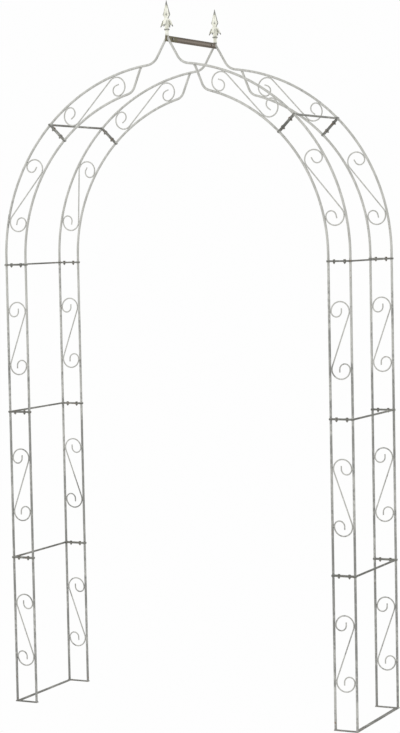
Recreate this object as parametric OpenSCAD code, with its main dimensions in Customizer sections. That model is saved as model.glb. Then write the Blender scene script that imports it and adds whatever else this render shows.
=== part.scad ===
/* [Overall] */
// Width between the outer rods, centre to centre, mm
span = 1390; // [1100:10:1800]
// Depth between the front and rear rods, centre to centre, mm
depth = 400; // [250:10:600]
// Height of one straight leg section, mm
leg_height = 553; // [420:1:700]
// Distance between the outer and inner rods of a panel, centre to centre, mm
ladder = 83; // [70:1:110]
// Straight length of rod before the arch curve begins, mm
stub = 24; // [10:1:60]

/* [Rods and bars] */
// Diameter of the outer and inner rods, mm
rod_d = 9; // [8:0.5:11]
// Diameter of the scroll rods, mm
scroll_d = 5; // [4:0.5:6]
// Width of the flat bars, mm
bar_w = 15; // [14:1:20]
// Thickness of one flat bar, mm
bar_t = 3; // [2:0.5:4]
// Width of the tie between the front and rear flat bars at a joint, mm
tie_w = 5; // [3:1:12]
// Clearance where a round rod is seated against another, mm
seat_gap = 0.25; // [0.2:0.05:0.3]

// How much thinner a rod is drawn at each bend towards its end, mm
draw_down = 0.1; // [0.1:0.05:0.3]

/* [Scrolls] */
// Distance between the two loops of a scroll in a leg, centre to centre, mm
leg_scroll_pitch = 203; // [180:1:240]
// Distance between the two loops of a scroll in the arch, centre to centre, mm
arch_scroll_pitch = 211; // [180:1:240]
// Radius of the curled end of a scroll, to the rod's centreline, mm
curl_r = 19.5; // [17:0.5:24]
// Length of the short tail on a curl, mm
tail = 11; // [6:1:16]
// Angle above level of the scrolls in the lower arch sections, degrees
haunch_scroll_at = 21.2; // [20:0.1:24]
// Angle above level of the scrolls in the upper arch sections, degrees
crown_scroll_at = 62; // [58:0.1:63]

/* [Crown] */
// Angle above level at which the outer rods leave the arch curve, degrees
ogee_at = 83.2; // [82:0.1:84]
// Radius of the upward bend of the outer rods, to the rod's centreline, mm
ogee_r = 55; // [40:1:60]
// Slope of the outer rods where they reach the ridge, degrees
ogee_slope = 60; // [50:1:64]
// Angle above level at which the inner rods leave the arch curve, degrees
inner_at = 74.5; // [73:0.1:76]
// Radius of the upward bend of the inner rods, to the rod's centreline, mm
inner_r = 40; // [32:1:48]
// Slope of the inner rods where they meet the outer rods, degrees
inner_slope = 68; // [60:1:72]

/* [Ridge] */
// Height of the two flat ridge bars, which stand on edge, mm
ridge_h = 20; // [18:1:26]
// Thickness of one ridge bar, mm
ridge_t = 4; // [3:0.5:6]
// How far the ridge bars reach past the middle of the rods at each end, mm
ridge_reach = 7; // [6:0.5:12]
// Distance from the middle of the rods to the nearer ridge bolt, mm
ridge_bolt_inset = 38; // [25:1:60]

/* [Finials] */
// Height of a finial's stem, up to the underside of its collar, mm
stem_h = 19; // [10:1:24]
// Diameter of a finial's stem, mm
stem_d = 13; // [12:0.5:16]
// Diameter of a finial's collar, mm
collar_d = 20; // [18:0.5:24]
// Thickness of a finial's collar, mm
collar_h = 5; // [4:0.5:8]
// Height of a finial's neck, from its collar to its blade, mm
neck_h = 38; // [32:1:44]
// Diameter of a finial's neck, mm
neck_d = 10; // [8:0.5:12]
// Height of a finial's spear blade, mm
blade_h = 64; // [50:1:90]
// Width of a finial's spear blade, mm
blade_w = 30; // [24:1:36]
// Thickness of a finial's spear blade, mm
blade_t = 7; // [5:0.5:9]
// Width across the drooping leaves of a finial, mm
leaf_w = 52; // [46:1:60]
// Thickness of a drooping leaf, mm
leaf_d = 5; // [4:0.5:6]

/* [Fasteners] */
// Diameter of the bolt shanks, mm
bolt_d = 5; // [4:0.5:6]
// Distance between the two bolts of a cross bar, mm
bolt_pitch = 40; // [34:1:46]
// Clearance round a bolt in its hole, across the hole, mm
bolt_gap = 0.4; // [0.3:0.1:0.6]
// Clearance between a nut and its bolt, across the bolt, mm
thread_gap = 0.2; // [0.1:0.05:0.3]
// Width across the flats of a bolt head or a nut, mm
hex_w = 8; // [7.5:0.5:10]
// Height of a bolt head, mm
head_h = 3.5; // [3:0.5:5]
// Height of a nut, mm
nut_h = 4; // [3:0.5:5]
// Length of bolt that stands out past its nut, mm
bolt_end = 3; // [1:0.5:6]

/* [Hidden] */
$fn = 48;

rod_colour = "darkgray";
bar_colour = "dimgray";
left = -1;
right = 1;
front = -depth / 2;
rear = depth / 2;
outer_r = span / 2;
inner_ring_r = outer_r - ladder;
middle_r = outer_r - ladder / 2;
rod_r = rod_d / 2;
arch_z = 3 * leg_height + stub;
shoulder = 45;
shoulder_joint = 4;

// A loop's centreline radius, so that it just clears the rod on either side.
loop_r = ladder / 2 - rod_r - seat_gap - scroll_d / 2;

// How far one stretch of a bent rod is let into the next, and the angle that takes at radius r.
lap = 0.2;
function lap_angle(r) = lap / r * 180 / PI;

// Where the outer rods' bends end, and where their centrelines reach the ridge bars.
ogee_x = (outer_r + ogee_r) * cos(ogee_at) - ogee_r * sin(ogee_slope);
ogee_z = (outer_r + ogee_r) * sin(ogee_at) - ogee_r * cos(ogee_slope);
ridge_z = arch_z + ogee_z + (ogee_x - ridge_t) * tan(ogee_slope);
ridge_top = ridge_z + ridge_h / 2;

// Where the inner rods' bends end, and how far it is from there to the outer rods.
bend_x = (inner_ring_r + inner_r) * cos(inner_at) - inner_r * sin(inner_slope);
bend_z = (inner_ring_r + inner_r) * sin(inner_at) - inner_r * cos(inner_slope);
along = -bend_x * cos(inner_slope) + bend_z * sin(inner_slope);
touch_r = outer_r - rod_r - seat_gap;
inner_end = -along + sqrt(along * along - bend_x * bend_x - bend_z * bend_z + touch_r * touch_r);

// A finial's heights above its seat on the ridge.
leaf_r = 10;
leaf_drop = 8;
leaves = 4;
neck_z = stem_h + collar_h;
blade_z = neck_z + neck_h;
leaf_z = blade_z - leaf_drop - leaf_r - leaf_d / 2;
blade_shoulder = 13;
blade_foot_w = 17;

hex_d = hex_w / cos(30);

module on_side(side) {
    mirror([side == left ? 1 : 0, 0, 0]) children();
}

// Stands a shape drawn in the XY plane upright in the XZ plane at depth y.
module stand(y) {
    translate([0, y, 0]) rotate([90, 0, 0]) children();
}

// A round bar bent to an arc about the origin, in the XY plane.
module bent(r, start, sweep, d) {
    rotate([0, 0, start]) rotate_extrude(angle = sweep) translate([r, 0]) circle(d = d);
}

// A straight round bar in the XY plane, from the origin along a heading.
module straight(heading, length, d) {
    rotate([0, 0, heading]) rotate([0, 90, 0]) cylinder(d = d, h = length);
}

// The plane in which two sections are bolted together: 0 is the ground, 4 the shoulder.
module at_joint(joint) {
    if (joint < shoulder_joint)
        translate([0, 0, joint * leg_height]) children();
    else
        translate([0, 0, arch_z]) rotate([0, -shoulder, 0]) children();
}

// The angle that a flat bar takes up at the shoulder, beside a rod bent to radius r.
function bar_angle(r) = asin(bar_t / (r - rod_r));

module leg_rods(side, section, y) {
    color(rod_colour) on_side(side)
        for (x = [inner_ring_r, outer_r])
            translate([x, y, section * leg_height + bar_t])
                cylinder(d = rod_d, h = leg_height - 2 * bar_t);
}

module haunch_rods(side, y) {
    color(rod_colour) on_side(side)
        translate([0, 0, arch_z]) stand(y)
            for (r = [inner_ring_r, outer_r]) {
                translate([r, 0, 0]) straight(-90, stub - bar_t, rod_d);
                bent(r, 0, shoulder - bar_angle(r), rod_d);
            }
}

// The upward bend at the top of a crown rod, which leaves the ring of radius r at an angle.
module upward_bend(r, at, bend_r, slope) {
    translate([(r + bend_r) * cos(at), (r + bend_r) * sin(at), 0])
        bent(bend_r, 270 - slope, at + slope - 90 + lap_angle(bend_r), rod_d - draw_down);
}

// The straight end of a crown rod, from the point (x, z) where its bend ends.
module crown_end(x, z, slope, length) {
    translate([x, z, 0]) rotate([0, 0, 180 - slope])
        translate([-lap, 0, 0]) straight(0, length + lap, rod_d - 2 * draw_down);
}

module crown_outer_rod() {
    start = shoulder + bar_angle(outer_r);
    bent(outer_r, start, ogee_at - start, rod_d);
    upward_bend(outer_r, ogee_at, ogee_r, ogee_slope);
    difference() {
        crown_end(ogee_x, ogee_z, ogee_slope, (ogee_x - ridge_t) / cos(ogee_slope) + 2 * rod_d);
        translate([ridge_t - 4 * rod_d, ridge_z - arch_z - 3 * rod_d, -rod_d])
            cube([4 * rod_d, 6 * rod_d, 2 * rod_d]);
    }
}

module crown_inner_rod() {
    start = shoulder + bar_angle(inner_ring_r);
    bent(inner_ring_r, start, inner_at - start, rod_d);
    upward_bend(inner_ring_r, inner_at, inner_r, inner_slope);
    intersection() {
        crown_end(bend_x, bend_z, inner_slope, inner_end + rod_d);
        cylinder(r = touch_r, h = 2 * rod_d, center = true, $fn = 256);
    }
}

module crown_rods(side, y) {
    color(rod_colour) on_side(side)
        translate([0, 0, arch_z]) stand(y) {
            crown_outer_rod();
            crown_inner_rod();
        }
}

// Half of a scroll: half of the straight diagonal, a loop, a curl and a tail, each let
// into the next by lap. The loop turns about the point (0, pitch / 2), and touch is the
// angle at which it meets the rods.
module half_scroll(pitch, touch) {
    lean = asin(2 * loop_r / pitch);
    thin_d = scroll_d - draw_down;
    tail_d = thin_d - draw_down;
    straight(90 - lean, sqrt(pitch * pitch / 4 - loop_r * loop_r) + lap, thin_d);
    translate([0, pitch / 2, 0]) {
        bent(loop_r, -lean, 180 + lean + touch, scroll_d);
        rotate([0, 0, 180 + touch]) translate([loop_r - curl_r, 0, 0]) {
            bent(curl_r, -lap_angle(curl_r), 180 + lap_angle(curl_r), thin_d);
            translate([-curl_r, lap, 0]) straight(-90, tail + lap, tail_d);
        }
    }
}

// A whole scroll, centred between its rods. Falling outward, its diagonal runs
// from the inner rod at the top to the outer rod at the bottom.
module scroll(pitch, touch, falls_outward) {
    mirror([falls_outward ? 1 : 0, 0, 0])
        for (end = [0, 1])
            rotate([0, 0, 180 * end])
                half_scroll(pitch, (falls_outward ? -touch : touch) * (1 - 2 * end));
}

module leg_scroll(side, section, y, falls_outward) {
    on_side(side)
        translate([middle_r, 0, (section + 0.5) * leg_height]) stand(y)
            scroll(leg_scroll_pitch, 0, falls_outward);
}

module arch_scroll(side, at, y, falls_outward) {
    half = arch_scroll_pitch / 2;
    on_side(side)
        translate([0, 0, arch_z]) stand(y) rotate([0, 0, at])
            translate([sqrt(middle_r * middle_r - half * half), 0, 0])
                scroll(arch_scroll_pitch, asin(half / middle_r), falls_outward);
}

// A section's two scrolls, front and rear, each falling outward or inward.
module leg_scrolls(side, section, front_out, rear_out) {
    color(rod_colour) {
        leg_scroll(side, section, front, front_out);
        leg_scroll(side, section, rear, rear_out);
    }
}

module arch_scrolls(side, at, front_out, rear_out) {
    color(rod_colour) {
        arch_scroll(side, at, front, front_out);
        arch_scroll(side, at, rear, rear_out);
    }
}

// The flat bars across a section's end, front and back, and what joins them along the outer
// side: a narrow tie at a joint, and a full flat bar at the foot. They are welded as one.
module end_bar(side, joint, below) {
    color(bar_colour) on_side(side)
        at_joint(joint)
            translate([0, 0, below ? -bar_t : 0])
                difference() {
                    union() {
                        for (y = [front, rear])
                            translate([inner_ring_r - rod_d / 2, y - bar_w / 2, 0])
                                cube([ladder + rod_d, bar_w, bar_t]);
                        if (joint > 0)
                            translate([outer_r - tie_w / 2, front, 0])
                                cube([tie_w, depth, bar_t]);
                        else
                            translate([outer_r + rod_d / 2 - bar_w, front, 0])
                                cube([bar_w, depth, bar_t]);
                    }
                    if (joint > 0)
                        for (x = [-1, 1], y = [front, rear])
                            translate([middle_r + x * bolt_pitch / 2, y, -bar_t])
                                cylinder(d = bolt_d + bolt_gap, h = 3 * bar_t);
                }
}

module hex_bolt(grip) {
    translate([0, 0, grip / 2]) cylinder(d = hex_d, h = head_h, $fn = 6);
    translate([0, 0, -grip / 2 - nut_h - bolt_end]) cylinder(d = bolt_d, h = grip + nut_h + bolt_end + 1);
}

module hex_nut(grip) {
    translate([0, 0, -grip / 2 - nut_h])
        difference() {
            cylinder(d = hex_d, h = nut_h, $fn = 6);
            translate([0, 0, -1]) cylinder(d = bolt_d + thread_gap, h = nut_h + 2);
        }
}

module at_joint_bolts(side) {
    on_side(side)
        for (joint = [1 : shoulder_joint], x = [-1, 1], y = [front, rear])
            at_joint(joint) translate([middle_r + x * bolt_pitch / 2, y, 0]) children();
}

module joint_bolts(side) {
    color(bar_colour) at_joint_bolts(side) hex_bolt(2 * bar_t);
}

module joint_nuts(side) {
    color(bar_colour) at_joint_bolts(side) hex_nut(2 * bar_t);
}

module at_ridge_bolts() {
    for (y = [front + ridge_bolt_inset, rear - ridge_bolt_inset])
        translate([0, y, ridge_z]) rotate([0, 90, 0]) children();
}

module ridge_bar(side) {
    color("saddlebrown") difference() {
        on_side(side)
            translate([0, front - ridge_reach, ridge_z - ridge_h / 2])
                cube([ridge_t, depth + 2 * ridge_reach, ridge_h]);
        at_ridge_bolts()
            cylinder(d = bolt_d + bolt_gap, h = 4 * ridge_t, center = true);
    }
}

module ridge_bolts() {
    color(bar_colour) at_ridge_bolts() hex_bolt(2 * ridge_t);
}

module ridge_nuts() {
    color(bar_colour) at_ridge_bolts() hex_nut(2 * ridge_t);
}

module finial_leaf() {
    translate([leaf_w / 2 - leaf_r - leaf_d / 2, leaf_z, 0]) {
        bent(leaf_r, -30, 180, leaf_d);
        rotate([0, 0, 150]) translate([leaf_r, 0, 0]) straight(90, leaf_r, leaf_d);
    }
}

module finial(y) {
    color("antiquewhite")
        translate([0, 0, ridge_top]) {
            translate([0, y, 0]) {
                cylinder(d = stem_d, h = stem_h);
                translate([0, 0, stem_h]) cylinder(d = collar_d, h = collar_h);
                translate([0, 0, neck_z]) cylinder(d = neck_d, h = neck_h + blade_shoulder / 2);
            }
            stand(y)
                translate([0, blade_z, -blade_t / 2])
                    linear_extrude(height = blade_t)
                        polygon([
                            [blade_foot_w / 2, 0], [blade_w / 2, blade_shoulder], [0, blade_h],
                            [-blade_w / 2, blade_shoulder], [-blade_foot_w / 2, 0],
                        ]);
            for (leaf = [0 : leaves - 1])
                translate([0, y, 0]) rotate([0, 0, leaf * 360 / leaves])
                    stand(0) finial_leaf();
        }
}

leg_rods(left, 0, front);  // left_lower_front_rods
leg_rods(left, 0, rear);  // left_lower_rear_rods
leg_scrolls(left, 0, false, false);  // left_lower_scrolls
end_bar(left, 0, false);  // left_lower_bottom_bar
end_bar(left, 1, true);  // left_lower_top_bar
leg_rods(left, 1, front);  // left_middle_front_rods
leg_rods(left, 1, rear);  // left_middle_rear_rods
leg_scrolls(left, 1, true, false);  // left_middle_scrolls
end_bar(left, 1, false);  // left_middle_bottom_bar
end_bar(left, 2, true);  // left_middle_top_bar
leg_rods(left, 2, front);  // left_upper_front_rods
leg_rods(left, 2, rear);  // left_upper_rear_rods
leg_scrolls(left, 2, true, true);  // left_upper_scrolls
end_bar(left, 2, false);  // left_upper_bottom_bar
end_bar(left, 3, true);  // left_upper_top_bar
haunch_rods(left, front);  // left_haunch_front_rods
haunch_rods(left, rear);  // left_haunch_rear_rods
arch_scrolls(left, haunch_scroll_at, true, false);  // left_haunch_scrolls
end_bar(left, 3, false);  // left_haunch_bottom_bar
end_bar(left, shoulder_joint, true);  // left_haunch_top_bar
crown_rods(left, front);  // left_crown_front_rods
crown_rods(left, rear);  // left_crown_rear_rods
arch_scrolls(left, crown_scroll_at, false, false);  // left_crown_scrolls
end_bar(left, shoulder_joint, false);  // left_crown_bottom_bar
ridge_bar(left);  // left_ridge_bar
joint_bolts(left);  // left_joint_bolts
joint_nuts(left);  // left_joint_nuts
leg_rods(right, 0, front);  // right_lower_front_rods
leg_rods(right, 0, rear);  // right_lower_rear_rods
leg_scrolls(right, 0, false, false);  // right_lower_scrolls
end_bar(right, 0, false);  // right_lower_bottom_bar
end_bar(right, 1, true);  // right_lower_top_bar
leg_rods(right, 1, front);  // right_middle_front_rods
leg_rods(right, 1, rear);  // right_middle_rear_rods
leg_scrolls(right, 1, true, false);  // right_middle_scrolls
end_bar(right, 1, false);  // right_middle_bottom_bar
end_bar(right, 2, true);  // right_middle_top_bar
leg_rods(right, 2, front);  // right_upper_front_rods
leg_rods(right, 2, rear);  // right_upper_rear_rods
leg_scrolls(right, 2, false, false);  // right_upper_scrolls
end_bar(right, 2, false);  // right_upper_bottom_bar
end_bar(right, 3, true);  // right_upper_top_bar
haunch_rods(right, front);  // right_haunch_front_rods
haunch_rods(right, rear);  // right_haunch_rear_rods
arch_scrolls(right, haunch_scroll_at, true, true);  // right_haunch_scrolls
end_bar(right, 3, false);  // right_haunch_bottom_bar
end_bar(right, shoulder_joint, true);  // right_haunch_top_bar
crown_rods(right, front);  // right_crown_front_rods
crown_rods(right, rear);  // right_crown_rear_rods
arch_scrolls(right, crown_scroll_at, false, false);  // right_crown_scrolls
end_bar(right, shoulder_joint, false);  // right_crown_bottom_bar
ridge_bar(right);  // right_ridge_bar
joint_bolts(right);  // right_joint_bolts
joint_nuts(right);  // right_joint_nuts
ridge_bolts();
ridge_nuts();
finial(front);  // front_finial
finial(rear);  // rear_finial
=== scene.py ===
# %% [markdown]
# # A bolt-together garden arch in painted steel rod
#
# Two ladder-like legs carry a round arch whose outer rods sweep up to a short ridge with a
# cast spear finial at each end. The structure, with all its real sizes, comes ready made as
# a fixed frame. This lesson gives it what the eye looks for: worn paint, softened edges on
# the flat bars, weld beads, proper bolts and nuts, and the two cast finials.

# %% Load the frame
import math

import bpy
from mathutils import Matrix, Vector


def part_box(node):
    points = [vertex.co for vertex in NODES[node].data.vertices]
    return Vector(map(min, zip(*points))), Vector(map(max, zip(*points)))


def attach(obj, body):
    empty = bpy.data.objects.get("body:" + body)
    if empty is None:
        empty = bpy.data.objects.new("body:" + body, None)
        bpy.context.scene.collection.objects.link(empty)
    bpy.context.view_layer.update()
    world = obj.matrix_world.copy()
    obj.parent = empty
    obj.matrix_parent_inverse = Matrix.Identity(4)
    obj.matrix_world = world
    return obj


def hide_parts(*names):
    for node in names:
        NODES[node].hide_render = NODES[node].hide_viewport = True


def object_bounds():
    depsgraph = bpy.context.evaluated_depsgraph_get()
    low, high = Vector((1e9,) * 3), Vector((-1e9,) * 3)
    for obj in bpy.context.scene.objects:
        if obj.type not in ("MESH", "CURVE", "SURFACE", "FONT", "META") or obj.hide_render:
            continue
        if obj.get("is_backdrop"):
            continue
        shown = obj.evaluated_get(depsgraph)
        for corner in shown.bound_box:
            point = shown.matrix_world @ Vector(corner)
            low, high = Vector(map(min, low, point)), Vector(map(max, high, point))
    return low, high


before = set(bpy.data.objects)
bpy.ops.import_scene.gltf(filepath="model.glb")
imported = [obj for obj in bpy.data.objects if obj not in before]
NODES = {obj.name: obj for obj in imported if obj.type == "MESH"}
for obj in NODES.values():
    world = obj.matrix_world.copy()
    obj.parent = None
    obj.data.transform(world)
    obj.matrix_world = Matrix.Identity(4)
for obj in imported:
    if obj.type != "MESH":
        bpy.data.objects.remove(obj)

CAD_LOW, CAD_HIGH = (list(corner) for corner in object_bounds())
print("frame:", len(NODES), "nodes,", [round(h - l, 3) for l, h in zip(CAD_LOW, CAD_HIGH)], "m")

# %% [markdown]
# ## Measures taken from the frame
#
# Every new piece sits on something that the frame already holds, so its place is worked out
# from the frame's own boxes and not typed in again. A straight front leg gives the two rods'
# places, and the flat bars give the heights at which the sections are bolted together. The
# arch is two rings about one centre, a short straight stub above the top leg joint.

# %% Rod and joint places
SIDES = ("left", "right")
LEGS = ("lower", "middle", "upper")
SECTIONS = LEGS + ("haunch", "crown")
STUB = 0.024
SHOULDER = math.radians(45)

leg_low, leg_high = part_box("right_lower_front_rods")
ROD_R = (leg_high[1] - leg_low[1]) / 2
OUTER = leg_high[0] - ROD_R
INNER = leg_low[0] + ROD_R
MIDDLE = (OUTER + INNER) / 2
FRONT = (leg_high[1] + leg_low[1]) / 2
REAR = -FRONT
BAR_T = leg_low[2]
LEG_H = leg_high[2] + BAR_T
ARCH_Z = len(LEGS) * LEG_H + STUB
BAR_W = 0.015
RIDGE_T = 0.004
ridge_low, ridge_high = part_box("right_ridge_bar")
RIDGE_Z = (ridge_low[2] + ridge_high[2]) / 2
RIDGE_TOP = ridge_high[2]
print("rods at", round(INNER, 4), "and", round(OUTER, 4), "- joints every", round(LEG_H, 4), "m")

# %% [markdown]
# ## Camera
#
# A long lens from a little to the right, at about a tall person's eye height, keeps the legs
# nearly upright and shows the depth of the arch. The camera turns a little left, looks a
# little down, and leans by about a degree, as one held in the hand does.

# %% Camera
CAMERA_AT = Vector((3.4636, FRONT - 6.8573, 1.7863))
CAMERA_YAW = math.radians(26.09)
CAMERA_PITCH = math.radians(-3.753)
CAMERA_ROLL = math.radians(-1.140)
LENS = 104.28


def camera_turn(yaw, pitch, roll):
    """The rotation of a camera that looks along +Y, turned left by yaw, up by pitch, and rolled."""
    ahead = Vector((-math.sin(yaw) * math.cos(pitch), math.cos(yaw) * math.cos(pitch), math.sin(pitch)))
    right = Vector((math.cos(yaw), math.sin(yaw), 0))
    up = right.cross(ahead)
    side = right * math.cos(roll) + up * math.sin(roll)
    top = up * math.cos(roll) - right * math.sin(roll)
    return Matrix((side, top, -ahead)).transposed().to_4x4()


camera = bpy.data.objects.new("camera", bpy.data.cameras.new("camera"))
bpy.context.scene.collection.objects.link(camera)
camera.data.lens = LENS
camera.data.clip_end = 200
camera.matrix_world = Matrix.Translation(CAMERA_AT) @ camera_turn(CAMERA_YAW, CAMERA_PITCH, CAMERA_ROLL)
bpy.context.scene.camera = camera
print("camera", round((CAMERA_AT - Vector((0, 0, 1.3))).length, 2), "m from the arch")

# %% [markdown]
# ## Floor and studio light
#
# A white floor that glows as brightly as the white surround has no edge against it, like a
# lit studio sweep, and it keeps attention on the thin rods. One large soft lamp on the left
# gives every rod a light side and a dark side, and two weaker ones fill in. The plain
# view transform keeps the white surround white.

# %% Floor and light
SURROUND = 0.99
bpy.ops.object.select_all(action="DESELECT")
bpy.ops.mesh.primitive_plane_add(size=60, location=(0, 0, 0))
floor = bpy.context.object
floor.name = "floor"
floor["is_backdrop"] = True
floor_paint = bpy.data.materials.new("pale_floor")
floor_paint.use_nodes = True
floor_shader = floor_paint.node_tree.nodes["Principled BSDF"]
floor_shader.inputs["Base Color"].default_value = (0.0, 0.0, 0.0, 1)
floor_shader.inputs["Specular IOR Level"].default_value = 0.0
floor_shader.inputs["Emission Color"].default_value = (1, 1, 1, 1)
floor_shader.inputs["Emission Strength"].default_value = SURROUND
floor.data.materials.append(floor_paint)

world = bpy.data.worlds.new("pale_surround")
world.use_nodes = True
world.node_tree.nodes["Background"].inputs["Color"].default_value = (1.0, 1.0, 1.0, 1)
world.node_tree.nodes["Background"].inputs["Strength"].default_value = SURROUND
bpy.context.scene.world = world
bpy.context.scene.view_settings.view_transform = "Standard"


def soft_lamp(name, at, towards, size, power):
    """A square area lamp that faces a point."""
    light = bpy.data.lights.new(name, "AREA")
    light.size = size
    light.energy = power
    lamp = bpy.data.objects.new(name, light)
    lamp.location = at
    lamp.rotation_euler = (Vector(towards) - Vector(at)).to_track_quat("-Z", "Y").to_euler()
    bpy.context.scene.collection.objects.link(lamp)


ARCH_CENTRE = (0, 0, 1.3)
soft_lamp("key_lamp", (-3.5, -4.5, 5.0), ARCH_CENTRE, 3.0, 110)
soft_lamp("fill_lamp", (4.5, -3.5, 3.0), ARCH_CENTRE, 4.0, 25)
soft_lamp("back_lamp", (1.0, 5.0, 4.5), ARCH_CENTRE, 3.0, 40)
print("floor, surround and three soft lamps")

# %% [markdown]
# ## Shader maths as plain expressions
#
# Paint that is rubbed through is a matter of masks: numbers from 0 to 1 that say where each
# layer shows. A small class wraps a socket, so that masks are added and multiplied in the
# way numbers are, and each expression leaves the nodes that work it out.

# %% Shader helper
SHADE = "shade"


class Mask:
    """A number that varies over a surface, held by a node's output socket."""

    def __init__(self, paint, socket):
        self.paint = paint
        self.socket = socket

    def maths(self, operation, first, second=None):
        values = {0: first} if second is None else {0: first, 1: second}
        node = self.paint.node("ShaderNodeMath", {"operation": operation}, values)
        return Mask(self.paint, node.outputs[0])

    def __add__(self, other):
        return self.maths("ADD", self, other)

    def __radd__(self, other):
        return self.maths("ADD", other, self)

    def __sub__(self, other):
        return self.maths("SUBTRACT", self, other)

    def __rsub__(self, other):
        return self.maths("SUBTRACT", other, self)

    def __mul__(self, other):
        return self.maths("MULTIPLY", self, other)

    def __rmul__(self, other):
        return self.maths("MULTIPLY", other, self)

    def absolute(self):
        return self.maths("ABSOLUTE", self)

    def step(self, low, high):
        """0 below low, 1 above high, and a smooth rise between."""
        settings = {"interpolation_type": "SMOOTHSTEP"}
        node = self.paint.node("ShaderNodeMapRange", settings, {0: self, 1: low, 2: high})
        return Mask(self.paint, node.outputs[0])


class Paint:
    """A new material, with one method that makes any node and a few for this object's patterns."""

    def __init__(self, name):
        self.material = bpy.data.materials.new(name)
        self.material.use_nodes = True
        self.tree = self.material.node_tree
        self.shader = self.tree.nodes["Principled BSDF"]
        self.place = self.node("ShaderNodeTexCoord", {}, {}).outputs["Object"]

    def node(self, kind, settings, values):
        node = self.tree.nodes.new(kind)
        for name, value in settings.items():
            setattr(node, name, value)
        for name, value in values.items():
            self.feed(node.inputs[name], value)
        return node

    def feed(self, socket, value):
        if isinstance(value, Mask):
            value = value.socket
        if isinstance(value, bpy.types.NodeSocket):
            self.tree.links.new(value, socket)
        else:
            socket.default_value = value

    def stretched(self, x, y, z):
        """The place on the object with each direction scaled, for patterns that run one way."""
        return self.node("ShaderNodeMapping", {}, {"Vector": self.place, "Scale": (x, y, z)}).outputs[0]

    def noise(self, scale, detail=3, roughness=0.5, place=None):
        values = {"Vector": place or self.place, "Scale": scale, "Detail": detail, "Roughness": roughness}
        return Mask(self, self.node("ShaderNodeTexNoise", {}, values).outputs[0])

    def cells(self, scale, place=None):
        values = {"Vector": place or self.place, "Scale": scale}
        return Mask(self, self.node("ShaderNodeTexVoronoi", {"feature": "F1"}, values).outputs[0])

    def axis(self, which):
        split = self.node("ShaderNodeSeparateXYZ", {}, {0: self.place})
        return Mask(self, split.outputs["XYZ".index(which)])

    def shade(self):
        """How far a point sits in an edge, a recess or a tip; 0 on a mesh that doesn't say."""
        node = self.node("ShaderNodeAttribute", {"attribute_name": SHADE}, {})
        return Mask(self, node.outputs["Fac"])

    def blend(self, mask, under, over):
        """One colour over another, where the mask says."""
        mix = self.node("ShaderNodeMix", {"data_type": "RGBA"}, {0: mask})
        self.feed(mix.inputs[6], under)
        self.feed(mix.inputs[7], over)
        return mix.outputs[2]

    def bump(self, height, distance, strength=1.0):
        values = {"Height": height, "Distance": distance, "Strength": strength}
        return self.node("ShaderNodeBump", {}, values).outputs[0]

    def finish(self, colour, roughness, normal=None, metallic=0.0):
        self.feed(self.shader.inputs["Base Color"], colour)
        self.feed(self.shader.inputs["Roughness"], roughness)
        self.feed(self.shader.inputs["Metallic"], metallic)
        if normal is not None:
            self.feed(self.shader.inputs["Normal"], normal)
        return self.material


print("shader helper ready")

# %% [markdown]
# ## Rubbed paint on the rods and scrolls
#
# The rods were dipped grey and then washed with an antique cream that was rubbed back.
# Broad noise says where the cream stayed, a finer one breaks its edge into rubs and flecks,
# and one that is drawn out along Z leaves the marks of a brush. The height of the place on
# the arch keeps the top paler and the feet more soiled and rusty. Fine grain and soft hammer
# dimples give the matt surface.

# %% Rubbed paint
GREY_METAL = (0.200, 0.201, 0.188, 1)
WARM_GREY = (0.305, 0.305, 0.282, 1)
CREAM_WASH = (0.480, 0.479, 0.450, 1)
PALE_CREAM = (0.64, 0.635, 0.585, 1)
RUST_FLECK = (0.17, 0.095, 0.05, 1)
DARK_METAL = (0.085, 0.085, 0.080, 1)
RUST_FROM = 0.69


def rubbed_paint(name, cream):
    """Cream wash over grey; cream is how much of it is left, from 0 to 1."""
    paint = Paint(name)
    overhead = paint.axis("Z").step(1.0, 1.9) * 0.13
    soiled = 1 - paint.axis("Z").step(0.01, 0.12)
    broad = paint.noise(4.0, 4, 0.6)
    rubs = paint.noise(85.0, 5, 0.7)
    brushed = paint.noise(120.0, 4, 0.6, paint.stretched(1, 1, 0.16))
    flecks = paint.noise(420.0, 2, 0.5)
    left = broad * 0.45 + rubs * 0.30 + brushed * 0.25 + overhead + (cream - 0.5)
    wash = left.step(0.47, 0.58)
    body = paint.blend(wash, GREY_METAL, CREAM_WASH)
    body = paint.blend(brushed.step(0.42, 0.60) * 0.5, body, WARM_GREY)
    body = paint.blend((flecks * 0.5 + rubs * 0.5).step(0.57, 0.62) * 0.6, body, PALE_CREAM)
    soiled_rubs = rubs * 0.6 + flecks * 0.4 + soiled * 0.05
    body = paint.blend(soiled_rubs.step(0.60, 0.64) * 0.6, body, DARK_METAL)
    rust = paint.noise(130.0, 3, 0.6, paint.stretched(1, 1, 0.6)) + soiled * 0.08
    body = paint.blend(rust.step(RUST_FROM, RUST_FROM + 0.05) * 0.8, body, RUST_FLECK)
    dimples = paint.cells(210.0) * 0.5 + flecks * 0.4 + wash * 0.7 + brushed * 0.3
    return paint.finish(body, 0.46 + rubs * 0.32, paint.bump(dimples, 0.0006, 0.6), 0.15)


rod_paint = rubbed_paint("rubbed_rod_paint", 0.50)
scroll_paint = rubbed_paint("rubbed_scroll_paint", 0.56)
print("rod and scroll paint")
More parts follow.
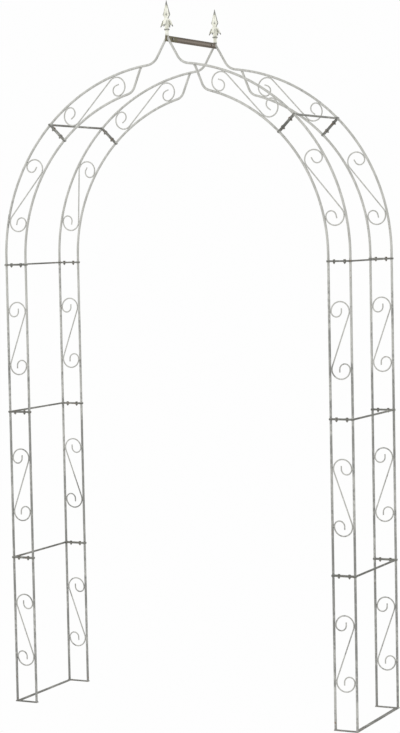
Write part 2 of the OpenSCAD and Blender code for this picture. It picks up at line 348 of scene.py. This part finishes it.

# %% [markdown]
# ## Worn flat bars, dull steel fasteners and a rusty ridge
#
# The flat bars kept little of the wash and read as the darkest lines of the arch. The bolts
# and nuts are plain steel gone dull. The ridge bars never held their paint: they are brown,
# with rust that runs in streaks along the bar and some old olive paint at the front end. A
# paler band along the middle of each ridge bar, which leaves its upper and lower edges dark,
# is a painted highlight.

# %% Bar, fastener and ridge finishes
BAR_DARK = (0.110, 0.110, 0.098, 1)
BAR_PALE = (0.205, 0.203, 0.182, 1)
BAR_RUST = (0.15, 0.085, 0.045, 1)
STEEL_DARK = (0.16, 0.155, 0.14, 1)
STEEL_PALE = (0.30, 0.29, 0.26, 1)
STEEL_RUST = (0.20, 0.11, 0.055, 1)
RIDGE_DARK = (0.062, 0.049, 0.034, 1)
RIDGE_BROWN = (0.120, 0.095, 0.070, 1)
# The colour of the painted highlight along the middle of each ridge bar.
RIDGE_HIGHLIGHT = (0.240, 0.205, 0.170, 1)
RIDGE_RUST = (0.16, 0.085, 0.045, 1)
RIDGE_OLIVE = (0.120, 0.110, 0.055, 1)
OLIVE_FROM = FRONT + 0.075
OLIVE_FADE = 0.020


def worn_bar_paint():
    paint = Paint("worn_bar_paint")
    broad = paint.noise(9.0, 4, 0.6)
    rubs = paint.noise(95.0, 4, 0.6)
    body = paint.blend(broad.step(0.3, 0.7), BAR_DARK, BAR_PALE)
    body = paint.blend((rubs * 0.7 + broad * 0.3).step(0.54, 0.64) * 0.7, body, CREAM_WASH)
    body = paint.blend(paint.noise(60.0, 3, 0.6).step(0.62, 0.70) * 0.8, body, BAR_RUST)
    grain = paint.noise(600.0, 3, 0.6) * 0.5 + rubs * 0.7
    return paint.finish(body, 0.55 + rubs * 0.3, paint.bump(grain, 0.0005, 0.6), 0.25)


def dull_steel():
    paint = Paint("dull_steel")
    tarnish = paint.noise(240.0, 4, 0.6)
    body = paint.blend(tarnish.step(0.35, 0.65), STEEL_DARK, STEEL_PALE)
    body = paint.blend(paint.noise(150.0, 3, 0.6).step(0.58, 0.66), body, STEEL_RUST)
    return paint.finish(body, 0.38 + tarnish * 0.35, paint.bump(tarnish, 0.0002, 0.5), 0.75)


def rusty_ridge():
    paint = Paint("rusty_ridge")
    along = paint.stretched(30, 6, 150)
    streaks = paint.noise(1.0, 5, 0.6, along)
    pits = paint.noise(260.0, 4, 0.65)
    # A paler band along the middle of the bar, with a streaky edge, is a painted highlight.
    from_middle = (paint.axis("Z") - RIDGE_Z).absolute()
    wear_and_highlight = 1 - (from_middle + streaks * 0.004).step(0.0035, 0.0075)
    body = paint.blend(streaks.step(0.35, 0.65), RIDGE_DARK, RIDGE_BROWN)
    body = paint.blend(wear_and_highlight * 0.75, body, RIDGE_HIGHLIGHT)
    body = paint.blend(pits.step(0.55, 0.68) * 0.7, body, RIDGE_RUST)
    along_ridge = paint.axis("Y") + paint.noise(60.0, 3) * 0.02
    olive_end = 1 - along_ridge.step(OLIVE_FROM, OLIVE_FROM + OLIVE_FADE)
    body = paint.blend(olive_end * 0.7, body, RIDGE_OLIVE)
    relief = pits * 0.6 + streaks * 0.6
    return paint.finish(body, 0.62 + pits * 0.25, paint.bump(relief, 0.0008, 0.7), 0.2)


bar_paint = worn_bar_paint()
steel = dull_steel()
ridge_rust = rusty_ridge()
print("bar paint, dull steel and ridge rust")

# %% [markdown]
# ## Cast paint for the finials
#
# The castings hold the cream best: it lies thick on their broad faces and is rubbed to grey
# on the edges and the tips, and the collar is darker grey. A number stored at each point of
# the casting, its shade, says where. The tip of each spear has lost most of its cream.

# %% Finial paint
CAST_CREAM = (0.62, 0.62, 0.52, 1)
CAST_WHITE = (0.78, 0.78, 0.70, 1)
CAST_GREY = (0.155, 0.155, 0.145, 1)
CAST_RUST = (0.20, 0.13, 0.08, 1)


def cast_cream():
    paint = Paint("cast_cream_paint")
    sand = paint.noise(500.0, 3, 0.6)
    wear_and_highlight = paint.noise(90.0, 4, 0.65)
    body = paint.blend(paint.noise(35.0, 3).step(0.3, 0.7), CAST_CREAM, CAST_WHITE)
    rubbed = (paint.shade() + (wear_and_highlight - 0.5) * 1.3).step(0.16, 0.72)
    body = paint.blend(rubbed * 0.92, body, CAST_GREY)
    body = paint.blend(paint.noise(160.0, 3, 0.6).step(0.66, 0.72) * 0.6, body, CAST_RUST)
    return paint.finish(body, 0.55 + wear_and_highlight * 0.2, paint.bump(sand * 0.5 + wear_and_highlight * 0.5, 0.0006, 0.6))


cast_paint = cast_cream()
print("finial paint")

# %% [markdown]
# ## Dressing what the frame already shows
#
# The rods and scrolls of the frame are round and smooth already, as drawn steel rod is, so
# they are kept as they are and only painted. A scroll is smaller and was harder to rub, so
# its paint keeps a little more of the cream.

# %% Dress the frame's rods and scrolls
def dress(obj, material):
    """Gives an object one finish all over."""
    obj.data.materials.clear()
    obj.data.materials.append(material)


for side in SIDES:
    for section in SECTIONS:
        dress(NODES[f"{side}_{section}_front_rods"], rod_paint)
        dress(NODES[f"{side}_{section}_rear_rods"], rod_paint)
        dress(NODES[f"{side}_{section}_scrolls"], scroll_paint)
print("dressed", 3 * len(SIDES) * len(SECTIONS), "rod and scroll nodes")

# %% [markdown]
# ## Flat bars with softened edges
#
# The flat bars are sheared from strip and welded into a U at each end of a section. Their
# edges are never knife sharp, and a small round on them catches a line of light. A copy of
# each bar is merged into one skin, its flat faces are cleared of triangles, and a narrow
# bevel is applied. The bar's size and holes stay exactly as the frame has them. The two
# bars of the ridge are treated in the same way.

# %% Soften the edges of the flat bars
EDGE_ROUND = 0.0006
MERGE_WITHIN = 2e-6
FLAT_WITHIN = math.radians(1)
SHARP_OVER = math.radians(40)
BAR_SMOOTH_UNDER = math.radians(35)


def only(obj):
    """Selects one object alone and makes it active."""
    bpy.ops.object.select_all(action="DESELECT")
    obj.select_set(True)
    bpy.context.view_layer.objects.active = obj


def apply_modifier(obj, kind, **settings):
    modifier = obj.modifiers.new(kind.lower(), kind)
    for name, value in settings.items():
        setattr(modifier, name, value)
    only(obj)
    bpy.ops.object.modifier_apply(modifier=modifier.name)


def settle(obj, slot, material, *nodes):
    """Dresses a finished piece, fixes it to the frame, and lets it stand for its nodes."""
    dress(obj, material)
    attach(obj, "root")
    if nodes:
        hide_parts(*nodes)


def rounded(obj, width):
    """Applies a narrow bevel to an object's sharp edges."""
    angle = {"limit_method": "ANGLE", "angle_limit": SHARP_OVER}
    apply_modifier(obj, "BEVEL", width=width, segments=2, **angle)


def softened_copy(node):
    """A copy of a flat bar, merged into one skin and with its edges rounded."""
    obj = NODES[node].copy()
    obj.data = NODES[node].data.copy()
    obj.name = node + "_softened"
    bpy.context.scene.collection.objects.link(obj)
    only(obj)
    bpy.ops.mesh.customdata_custom_splitnormals_clear()
    bpy.ops.object.mode_set(mode="EDIT")
    bpy.ops.mesh.select_all(action="SELECT")
    bpy.ops.mesh.remove_doubles(threshold=MERGE_WITHIN)
    bpy.ops.mesh.dissolve_limited(angle_limit=FLAT_WITHIN)
    bpy.ops.object.mode_set(mode="OBJECT")
    rounded(obj, EDGE_ROUND)
    bpy.ops.object.shade_smooth_by_angle(angle=BAR_SMOOTH_UNDER)
    return obj


bar_nodes = [name for name in NODES if name.endswith(("bottom_bar", "top_bar"))]
for name in bar_nodes:
    settle(softened_copy(name), "bars", bar_paint, name)
for name in ("left_ridge_bar", "right_ridge_bar"):
    settle(softened_copy(name), "ridge", ridge_rust, name)
print("softened", len(bar_nodes), "flat bars and 2 ridge bars")

# %% [markdown]
# ## Weld beads
#
# Nothing holds a real section together but its welds, and an arch without them looks like a
# drawing. Three kinds of bead are needed: a ring where a rod ends on a flat bar or on another
# rod, a short tack where a scroll touches a rod, and a lumpy seam where a tie meets a flat
# bar. Each is modelled once, from a torus or a ball whose skin is pushed about a little, as
# molten metal sets, and copied to its places. A section's beads then become one piece.

# %% Weld beads: the shapes
RING_RISE = 0.0016
RING_CLEAR = 0.0003
RING_LUMPS = (0.0004, 0.0021)
TACK_LUMPS = (0.0005, 0.0016)
TACK_R = 0.0025
TACK_LONG = 2.0
SEAM_SCALE = 0.55


def lumpy(obj, amount, pitch):
    """Pushes a mesh's points in and out along their normals by a fixed pattern of waves."""
    for vertex in obj.data.vertices:
        x, y, z = vertex.co / pitch
        wave = math.sin(x * 1.7 + 1.3 * math.cos(y * 1.9)) + math.sin(z * 2.3 + y * 1.1)
        vertex.co += vertex.normal * amount * wave / 2


def weld_ring(rod_r):
    """A bead round a rod of that radius, which stands on the plane z = 0."""
    bpy.ops.object.select_all(action="DESELECT")
    bpy.ops.mesh.primitive_torus_add(
        major_segments=20,
        minor_segments=6,
        major_radius=rod_r + RING_CLEAR,
        minor_radius=RING_RISE,
    )
    ring = bpy.context.object
    lumpy(ring, *RING_LUMPS)
    bpy.ops.object.mode_set(mode="EDIT")
    bpy.ops.mesh.select_all(action="SELECT")
    bpy.ops.mesh.bisect(plane_co=(0, 0, 0), plane_no=(0, 0, 1), clear_inner=True, use_fill=True)
    bpy.ops.object.mode_set(mode="OBJECT")
    return ring


def weld_tack():
    """A small long bead, centred on the origin and lying along Z."""
    bpy.ops.object.select_all(action="DESELECT")
    bpy.ops.mesh.primitive_uv_sphere_add(segments=10, ring_count=7, radius=TACK_R)
    tack = bpy.context.object
    bpy.ops.object.mode_set(mode="EDIT")
    bpy.ops.mesh.select_all(action="SELECT")
    bpy.ops.transform.resize(value=(1, 1, TACK_LONG))
    bpy.ops.object.mode_set(mode="OBJECT")
    lumpy(tack, *TACK_LUMPS)
    return tack


def flush_ring(ring, way):
    """A copy of a bead, cut off flush with the rod on the side where the flat bar ends."""
    flush = ring.copy()
    flush.data = ring.data.copy()
    bpy.context.scene.collection.objects.link(flush)
    for vertex in flush.data.vertices:
        if vertex.co.x * way > ROD_R:
            vertex.co.x = way * ROD_R
    return flush


rod_ring = weld_ring(ROD_R)
flush_rings = {OUTER: flush_ring(rod_ring, 1), INNER: flush_ring(rod_ring, -1)}
tack = weld_tack()
print("ring", len(rod_ring.data.polygons), "faces, tack", len(tack.data.polygons), "faces")

# %% [markdown]
# ## Where the beads go
#
# A place on the arch is a matrix: its origin on the joint, with Z along the bead. The left
# side is the right side turned half a turn about the arch's upright middle line, which works
# because the frame is the same front and back. The arch sections use one more turn, about
# the centre of the rings. A crown's inner rod bends up and runs straight until it meets the
# outer ring, so its end is where a line crosses a circle.

# %% Weld beads: the places
SCROLL_PITCH = {"leg": 0.203, "arch": 0.211}
SCROLL_AT = {"haunch": math.radians(21.2), "crown": math.radians(62)}
INNER_BEND_AT = math.radians(74.5)
INNER_BEND_R = 0.040
INNER_SLOPE = math.radians(68)
SPIN_STEP = 2.4
BEAD_SMOOTH_UNDER = math.radians(50)
RIDGE_BEAD_LONG = 1.5
scroll_low, scroll_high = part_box("right_lower_scrolls")
SCROLL_TOUCH = (scroll_high[0] - scroll_low[0]) / 2


def on_ring(angle, radius, y):
    """A place on the arch at an angle above level, with X outward and Z along the ring."""
    turn = Matrix.Translation((0, y, ARCH_Z)) @ Matrix.Rotation(-angle, 4, "Y")
    return turn @ Matrix.Translation((radius, 0, 0))


def shoulder_plane():
    """The joint between haunch and crown, part of the way round the rings."""
    return Matrix.Translation((0, 0, ARCH_Z)) @ Matrix.Rotation(-SHOULDER, 4, "Y")


def end_plane(section, top):
    """The plane on which a section's rods end, with Z pointing along the rods."""
    if section in LEGS or not top and section == "haunch":
        level = (SECTIONS.index(section) + top) * LEG_H
        return Matrix.Translation((0, 0, level - BAR_T if top else level + BAR_T))
    return shoulder_plane() @ Matrix.Translation((0, 0, -BAR_T if top else BAR_T))


def ring_places(section, x):
    """The feet and heads of a section's rods that stand at x, where they meet the flat bars."""
    flip = Matrix.Rotation(math.pi, 4, "X")
    for top in (False, True):
        if section == "crown" and top:
            continue
        for y in (FRONT, REAR):
            foot = end_plane(section, top) @ Matrix.Translation((x, y, 0))
            yield foot @ flip if top else foot


def tack_places(section):
    """The four points at which each scroll of a section touches its rods."""
    for y in (FRONT, REAR):
        for end in (-1, 1):
            for way in (-1, 1):
                if section in LEGS:
                    middle = (SECTIONS.index(section) + 0.5) * LEG_H
                    height = middle + end * SCROLL_PITCH["leg"] / 2
                    yield Matrix.Translation((MIDDLE + way * SCROLL_TOUCH, y, height))
                else:
                    angle = SCROLL_AT[section] + end * math.asin(SCROLL_PITCH["arch"] / 2 / MIDDLE)
                    yield on_ring(angle, MIDDLE + way * SCROLL_TOUCH, y)


def crown_places():
    """Where the inner rod of a crown meets the outer one, and where that meets the ridge."""
    bend_x = (INNER + INNER_BEND_R) * math.cos(INNER_BEND_AT) - INNER_BEND_R * math.sin(INNER_SLOPE)
    bend_z = (INNER + INNER_BEND_R) * math.sin(INNER_BEND_AT) - INNER_BEND_R * math.cos(INNER_SLOPE)
    way = Vector((-math.cos(INNER_SLOPE), 0, math.sin(INNER_SLOPE)))
    start = Vector((bend_x, 0, bend_z))
    reach = OUTER - ROD_R
    end = -start.dot(way) + math.sqrt(start.dot(way) ** 2 - start.length_squared + reach ** 2)
    tilt = Matrix.Rotation(math.pi / 2 + INNER_SLOPE, 4, "Y")
    face = Matrix.Rotation(math.pi / 2, 4, "Y") @ Matrix.Scale(RIDGE_BEAD_LONG, 4, (1, 0, 0))
    for y in (FRONT, REAR):
        met = start + way * end
        yield Matrix.Translation((met.x, y, ARCH_Z + met.z)) @ tilt
        yield Matrix.Translation((RIDGE_T, y, RIDGE_Z)) @ face


def corner_places(section):
    """The seams where the flat bars of a section meet what ties them front to rear."""
    for top in (False, True):
        if section == "crown" and top:
            continue
        for y, way in ((FRONT, 1), (REAR, -1)):
            corner = end_plane(section, top)
            inner_edge = Matrix.Translation((OUTER, y + way * BAR_W / 2, 0))
            yield corner @ inner_edge @ Matrix.Rotation(math.pi / 2, 4, "Y")


def copies(source, places, scale=1.0, spin=True):
    """A copy of a shape at each place, each turned a little differently unless told not to."""
    made = []
    for count, place in enumerate(places):
        obj = source.copy()
        obj.data = source.data.copy()
        bpy.context.scene.collection.objects.link(obj)
        turn = Matrix.Rotation(count * SPIN_STEP if spin else 0, 4, "Z")
        obj.data.transform(place @ turn @ Matrix.Scale(scale, 4))
        made.append(obj)
    return made


def joined(name, parts):
    bpy.ops.object.select_all(action="DESELECT")
    for part in parts:
        part.select_set(True)
    bpy.context.view_layer.objects.active = parts[0]
    bpy.ops.object.join()
    whole = bpy.context.object
    whole.name = name
    bpy.ops.object.shade_smooth_by_angle(angle=BEAD_SMOOTH_UNDER)
    return whole


def on_side(side, places):
    """Places on the right side, turned to the side that is asked for."""
    turn = Matrix.Rotation(math.pi if side == "left" else 0, 4, "Z")
    return [turn @ place for place in places]


for side in SIDES:
    for section in SECTIONS:
        rings = []
        for x, ring in flush_rings.items():
            rings += copies(ring, on_side(side, ring_places(section, x)), spin=False)
        if section == "crown":
            rings += copies(rod_ring, on_side(side, crown_places()), spin=False)
        tacks = copies(tack, on_side(side, tack_places(section)))
        seams = copies(tack, on_side(side, corner_places(section)), SEAM_SCALE)
        settle(joined(f"{side}_{section}_welds", rings + tacks + seams), "rods", rod_paint)
        print(side, section, "welds:", len(rings), "rings,", len(tacks), "tacks,", len(seams), "seams")
for shape in (rod_ring, tack, *flush_rings.values()):
    bpy.data.objects.remove(shape)

# %% [markdown]
# ## Turned forms
#
# A bolt's threaded end, a finial's stem and its blade are all stacks of rings, as if turned on
# a lathe and then pressed. Each starts as a ball with one ring of points for every line of a
# profile. The profile gives a height and two half widths, and a last number says how far the
# ring leaves the oval for the section of a cast blade, which has a rib down its middle, a
# hollow on each side of it and a raised rim.

# %% Turned forms
BLADE_SECTION = [1.0, 0.70, 0.50, 0.44, 0.44, 0.50, 0.64, 0.76, 0.60, 0.0]
BLADE_EDGE_FROM = 0.999


def listed(values, share):
    """A value part of the way along an evenly spaced list, on straight lines."""
    at = share * (len(values) - 1)
    first = min(int(at), len(values) - 2)
    return values[first] + (values[first + 1] - values[first]) * (at - first)


def set_shade(obj, measure):
    """Stores a number at every point of a mesh, for its paint to read."""
    layer = obj.data.attributes.new(SHADE, "FLOAT", "POINT")
    for vertex in obj.data.vertices:
        layer.data[vertex.index].value = measure(vertex.co)


def turned(profile, segments):
    """A closed form from (height, half x, half y, blade) lines, listed from the top down."""
    steps = len(profile) + 1
    bpy.ops.object.select_all(action="DESELECT")
    bpy.ops.mesh.primitive_uv_sphere_add(segments=segments, ring_count=steps, radius=1)
    form = bpy.context.object
    for vertex in form.data.vertices:
        ring = round(math.acos(max(-1, min(1, vertex.co.z))) / math.pi * steps)
        if ring in (0, steps):
            vertex.co = (0, 0, profile[0 if ring == 0 else -1][0])
            continue
        height, half_x, half_y, blade = profile[ring - 1]
        angle = math.atan2(vertex.co.y, vertex.co.x)
        across = math.cos(angle)
        through = math.sin(angle)
        flat = abs(across) / (abs(across) + abs(through))
        flat_x = math.copysign(flat, across)
        flat_y = math.copysign(listed(BLADE_SECTION, flat), through) if flat < BLADE_EDGE_FROM else 0
        x = half_x * (across + blade * (flat_x - across))
        y = half_y * (through + blade * (flat_y - through))
        vertex.co = (x, y, height)
    return form


print("turned forms ready")

# %% [markdown]
# ## Bolts and nuts
#
# The sections are held together by small hexagon bolts, and their heads and threaded ends
# hang below every flat bar as dark nubs. One bolt and one nut are modelled in full: chamfered
# corners, a thread on the end that sticks out, and a hollow nut. Copies stand at each place,
# each turned to a different angle, because nobody lines up the flats with a spanner.

# %% Model one bolt and one nut
BOLT_R = 0.0025
HEX_R = 0.004 / math.cos(math.radians(30))
HEAD_H = 0.0035
NUT_H = 0.004
BOLT_END = 0.003
THREAD_PITCH = 0.0008
THREAD_DEPTH = 0.0003
THREAD_GAP = 0.0001
CHAMFER = 0.0004
BOLT_SEGMENTS = 14


def hexagon(height, low):
    """A hexagonal prism with chamfered corners and its lower face at a height."""
    bpy.ops.object.select_all(action="DESELECT")
    middle = (0, 0, low + height / 2)
    bpy.ops.mesh.primitive_cylinder_add(vertices=6, radius=HEX_R, depth=height, location=middle)
    prism = bpy.context.object
    only(prism)
    bpy.ops.object.transform_apply(location=True)
    rounded(prism, CHAMFER)
    return prism


def bolt_model(grip):
    """A bolt through a grip that is centred on z = 0, with its head above."""
    head = hexagon(HEAD_H, grip / 2)
    under_nut = -grip / 2 - NUT_H
    end = under_nut - BOLT_END
    lines = [(grip / 2 + HEAD_H / 2, BOLT_R), (under_nut + THREAD_PITCH, BOLT_R)]
    for turn in range(int(BOLT_END / THREAD_PITCH)):
        crest = under_nut - (turn + 0.25) * THREAD_PITCH
        lines.append((crest, BOLT_R))
        lines.append((crest - THREAD_PITCH / 2, BOLT_R - THREAD_DEPTH))
    lines.append((end + CHAMFER, BOLT_R - CHAMFER / 2))
    lines.append((end, BOLT_R - 2 * CHAMFER))
    shank = turned([(height, radius, radius, 0) for height, radius in lines], BOLT_SEGMENTS)
    return joined("bolt_model", [head, shank])


def nut_model(grip):
    """A hollow nut below the same grip."""
    nut = hexagon(NUT_H, -grip / 2 - NUT_H)
    bpy.ops.object.select_all(action="DESELECT")
    bpy.ops.mesh.primitive_cylinder_add(
        vertices=BOLT_SEGMENTS,
        radius=BOLT_R + THREAD_GAP,
        depth=4 * NUT_H,
        location=(0, 0, -grip / 2),
    )
    bore = bpy.context.object
    apply_modifier(nut, "BOOLEAN", object=bore, operation="DIFFERENCE", solver="EXACT")
    bpy.data.objects.remove(bore)
    return nut


BAR_GRIP = 2 * BAR_T
bolt = bolt_model(BAR_GRIP)
nut = nut_model(BAR_GRIP)
print("bolt", len(bolt.data.polygons), "faces, nut", len(nut.data.polygons), "faces")

# %% Place the bolts and nuts
BOLT_PITCH = 0.040
RIDGE_BOLT_INSET = 0.038
RIDGE_GRIP = 2 * RIDGE_T


def joint_places():
    """Each bolt's place on the right side, from the lowest joint up to the shoulder."""
    joints = [Matrix.Translation((0, 0, (count + 1) * LEG_H)) for count in range(len(LEGS))]
    joints.append(shoulder_plane())
    for joint in joints:
        for x in (-BOLT_PITCH / 2, BOLT_PITCH / 2):
            for y in (FRONT, REAR):
                yield joint @ Matrix.Translation((MIDDLE + x, y, 0))


def ridge_places():
    """The ridge's bolts, which run across it from side to side."""
    for y in (FRONT + RIDGE_BOLT_INSET, REAR - RIDGE_BOLT_INSET):
        yield Matrix.Translation((0, y, RIDGE_Z)) @ Matrix.Rotation(math.pi / 2, 4, "Y")


for side in SIDES:
    for kind, model in (("bolts", bolt), ("nuts", nut)):
        node = f"{side}_joint_{kind}"
        fasteners = joined(node + "_detailed", copies(model, on_side(side, joint_places())))
        settle(fasteners, "fasteners", steel, node)
for model in (bolt, nut):
    bpy.data.objects.remove(model)
for kind, maker in (("bolts", bolt_model), ("nuts", nut_model)):
    model = maker(RIDGE_GRIP)
    node = f"ridge_{kind}"
    fasteners = joined(node + "_detailed", copies(model, ridge_places()))
    settle(fasteners, "fasteners", steel, node)
    bpy.data.objects.remove(model)
print("fasteners placed at", 2 * len(list(joint_places())) + len(list(ridge_places())), "places")

# %% [markdown]
# ## Cast finials
#
# Each end of the ridge carries a cast spear. A foundry makes it in one piece in a sand
# mould: a round stem with a collar, a swelling body, four drooping leaves that hang from a
# knuckle, and a flat blade with a rib down its middle and a knob at each shoulder. The stem,
# body and blade are one turned form. A leaf starts as a flat grid that is bent along its
# length, ridged down the middle and thickened.

# %% Finial: stem, body and blade
FINIAL_H = CAD_HIGH[2] - RIDGE_TOP
BLADE_SHOULDER_AT = 0.075
FINIAL_PROFILE = [
    (FINIAL_H, 0.0006, 0.0006, 0), (0.1225, 0.0014, 0.0013, 0.3), (0.1180, 0.0024, 0.0019, 0.7),
    (0.1130, 0.0036, 0.0025, 1), (0.1080, 0.0050, 0.0029, 1), (0.1030, 0.0064, 0.0032, 1),
    (0.0950, 0.0086, 0.0036, 1), (0.0870, 0.0108, 0.0039, 1), (0.0800, 0.0130, 0.0042, 1),
    (0.0770, 0.0142, 0.0043, 1), (0.0745, 0.0146, 0.0044, 1), (0.0715, 0.0132, 0.0046, 1),
    (0.0680, 0.0108, 0.0050, 0.7), (0.0650, 0.0088, 0.0058, 0.3), (0.0625, 0.0078, 0.0070, 0),
    (0.0600, 0.0080, 0.0080, 0), (0.0585, 0.0096, 0.0096, 0), (0.0565, 0.0106, 0.0106, 0),
    (0.0540, 0.0108, 0.0108, 0), (0.0515, 0.0102, 0.0102, 0), (0.0490, 0.0096, 0.0096, 0),
    (0.0430, 0.0094, 0.0094, 0), (0.0370, 0.0088, 0.0088, 0), (0.0310, 0.0078, 0.0078, 0),
    (0.0270, 0.0068, 0.0068, 0), (0.0252, 0.0072, 0.0072, 0), (0.0245, 0.0088, 0.0088, 0),
    (0.0230, 0.0098, 0.0098, 0), (0.0210, 0.0100, 0.0100, 0), (0.0195, 0.0092, 0.0092, 0),
    (0.0188, 0.0076, 0.0076, 0), (0.0160, 0.0064, 0.0064, 0), (0.0100, 0.0062, 0.0062, 0),
    (0.0050, 0.0066, 0.0066, 0), (0.0020, 0.0072, 0.0072, 0), (0.0000, 0.0065, 0.0065, 0),
]
FINIAL_SEGMENTS = 48
KNOB_SEGMENTS = 14
KNOB_RINGS = 9
COLLAR_AT = 0.0218
COLLAR_REACH = 0.0045
FOOT_REACH = 0.012
TIP_FROM = 0.100
BLADE_FROM = 0.062
BLADE_HALF_WIDTH = [0.0078, 0.0146, 0.0120, 0.0092, 0.0064, 0.0034, 0.0012]
EDGE_FROM = 0.62
RIB_REACH = 0.0012
COLLAR_SHADE = 0.9
FOOT_SHADE = 0.35
RIB_SHADE = 0.55
TIP_SHADE = 1.3
KNOB_SHADE = 0.5


def core_shade(point):
    """Dark at the collar, on the blade's edges and rib, and towards its tip."""
    collar = max(0, 1 - abs(point.z - COLLAR_AT) / COLLAR_REACH)
    foot = FOOT_SHADE * max(0, 1 - point.z / FOOT_REACH)
    tip = max(0, (point.z - TIP_FROM) / (FINIAL_H - TIP_FROM)) * TIP_SHADE
    if point.z < BLADE_FROM:
        return max(collar * COLLAR_SHADE, foot)
    up_blade = min(1, (point.z - BLADE_FROM) / (FINIAL_H - BLADE_FROM))
    half = listed(BLADE_HALF_WIDTH, up_blade)
    edge = max(0, abs(point.x) / half - EDGE_FROM) / (1 - EDGE_FROM)
    rib = RIB_SHADE * max(0, 1 - abs(point.x) / RIB_REACH)
    return max(collar, min(1, edge), rib, tip)


KNOBS = [(-0.0128, 0, 0.0024), (0.0128, 0, 0.0024), (0, -0.0036, 0.0030), (0, 0.0036, 0.0030)]

finial_core = turned(FINIAL_PROFILE, FINIAL_SEGMENTS)
set_shade(finial_core, core_shade)
finial_knobs = []
for x, y, knob_r in KNOBS:
    bpy.ops.object.select_all(action="DESELECT")
    bpy.ops.mesh.primitive_uv_sphere_add(
        segments=KNOB_SEGMENTS,
        ring_count=KNOB_RINGS,
        radius=knob_r,
    )
    knob = bpy.context.object
    knob.data.transform(Matrix.Translation((x, y, BLADE_SHOULDER_AT)))
    set_shade(knob, lambda point: KNOB_SHADE)
    finial_knobs.append(knob)
print("finial core", len(finial_core.data.polygons), "faces and", len(finial_knobs), "knobs")

# %% Finial: the four drooping leaves
LEAF_REACH = [0.0065, 0.0112, 0.0152, 0.0183, 0.0210, 0.0232, 0.0250]
LEAF_HEIGHT = [0.0545, 0.0568, 0.0535, 0.0478, 0.0418, 0.0362, 0.0315]
LEAF_HALF_WIDTH = [0.0040, 0.0055, 0.0070, 0.0076, 0.0068, 0.0046, 0.0008]
LEAF_LOBES = 3
LEAF_LOBE_DEPTH = 0.16
LEAF_LOBES_END = 0.95
LEAF_RIB = 0.0011
LEAF_RIB_SPREAD = 0.16
LEAF_DROOP = 0.0030
LEAF_STIFF_UNDER = 0.004
LEAF_VEIN = 0.00035
LEAF_VEIN_WAVES = 30
LEAF_VEIN_SLANT = 9
LEAF_VEIN_FADE = 4
LEAF_T = 0.0018
LEAF_MARGIN_FROM = 0.0035
LEAF_MARGIN_FADE = 0.004
LEAF_MARGIN_SHADE = 0.8
LEAF_TIP_FADE = 0.013
SLOPE_STEP = 0.01
LEAF_ROWS = 36
LEAF_COLUMNS = 12


def along(values, share):
    """A value part of the way along a list, on a smooth curve through its points."""
    at = share * (len(values) - 1)
    first = min(int(at), len(values) - 2)
    t = at - first
    a, b, c, d = (values[max(0, min(len(values) - 1, first + k))] for k in (-1, 0, 1, 2))
    square = (2 * a - 5 * b + 4 * c - d) * t ** 2
    cube = (3 * b - a - 3 * c + d) * t ** 3
    return 0.5 * (2 * b + (c - a) * t + square + cube)


def leaf_line(share):
    """The reach and the height of a point on the leaf's middle line."""
    return along(LEAF_REACH, share), along(LEAF_HEIGHT, share)


def leaf_point(share, across):
    """A point on the leaf: share runs from root to tip, across from -1 to 1 over its width."""
    lobed = share < LEAF_LOBES_END
    lobes = 1 - LEAF_LOBE_DEPTH * abs(math.sin(math.pi * LEAF_LOBES * share)) ** 3 * lobed
    half = along(LEAF_HALF_WIDTH, share) * lobes
    reach, height = leaf_line(share)
    next_reach, next_height = leaf_line(min(1, share + SLOPE_STEP))
    last_reach, last_height = leaf_line(max(0, share - SLOPE_STEP))
    out = Vector((last_height - next_height, 0, next_reach - last_reach)).normalized()
    rib = LEAF_RIB * math.exp(-(across / LEAF_RIB_SPREAD) ** 2)
    droop = LEAF_DROOP * across ** 2 * min(1, half / LEAF_STIFF_UNDER)
    wave = math.sin(LEAF_VEIN_WAVES * share + LEAF_VEIN_SLANT * abs(across))
    veins = LEAF_VEIN * wave * min(1, LEAF_VEIN_FADE * abs(across))
    return Vector((reach, across * half, height)) + out * (rib - droop + veins)


def leaf_shade(point):
    """Dark along the leaf's margins and towards its tip."""
    margin = min(1, max(0, abs(point.y) - LEAF_MARGIN_FROM) / LEAF_MARGIN_FADE) * LEAF_MARGIN_SHADE
    from_tip = math.hypot(point.x - LEAF_REACH[-1], point.z - LEAF_HEIGHT[-1])
    return max(margin, 1 - min(1, from_tip / LEAF_TIP_FADE))


def leaf(turn):
    """A thick, ridged leaf, turned about the finial's axis."""
    bpy.ops.object.select_all(action="DESELECT")
    bpy.ops.mesh.primitive_grid_add(x_subdivisions=LEAF_ROWS, y_subdivisions=LEAF_COLUMNS, size=2)
    blade = bpy.context.object
    for vertex in blade.data.vertices:
        vertex.co = leaf_point((vertex.co.x + 1) / 2, vertex.co.y)
    set_shade(blade, leaf_shade)
    apply_modifier(blade, "SOLIDIFY", thickness=LEAF_T, offset=-1)
    apply_modifier(blade, "SUBSURF", levels=1)
    blade.data.transform(Matrix.Rotation(turn, 4, "Z"))
    return blade


leaves = [leaf(count * math.pi / 2) for count in range(4)]
print(len(leaves), "leaves of", len(leaves[0].data.polygons), "faces")

# %% Finial: join, and stand one on each end of the ridge
finial_model = joined("finial_model", [finial_core] + finial_knobs + leaves)
for name, y, turn in (("front_finial", FRONT, 0), ("rear_finial", REAR, math.pi)):
    place = Matrix.Translation((0, y, RIDGE_TOP)) @ Matrix.Rotation(turn, 4, "Z")
    cast = finial_model.copy()
    cast.data = finial_model.data.copy()
    cast.name = name + "_cast"
    cast.data.transform(place)
    bpy.context.scene.collection.objects.link(cast)
    settle(cast, "finials", cast_paint, name)
bpy.data.objects.remove(finial_model)
print("two finials,", len(cast.data.polygons), "faces each")
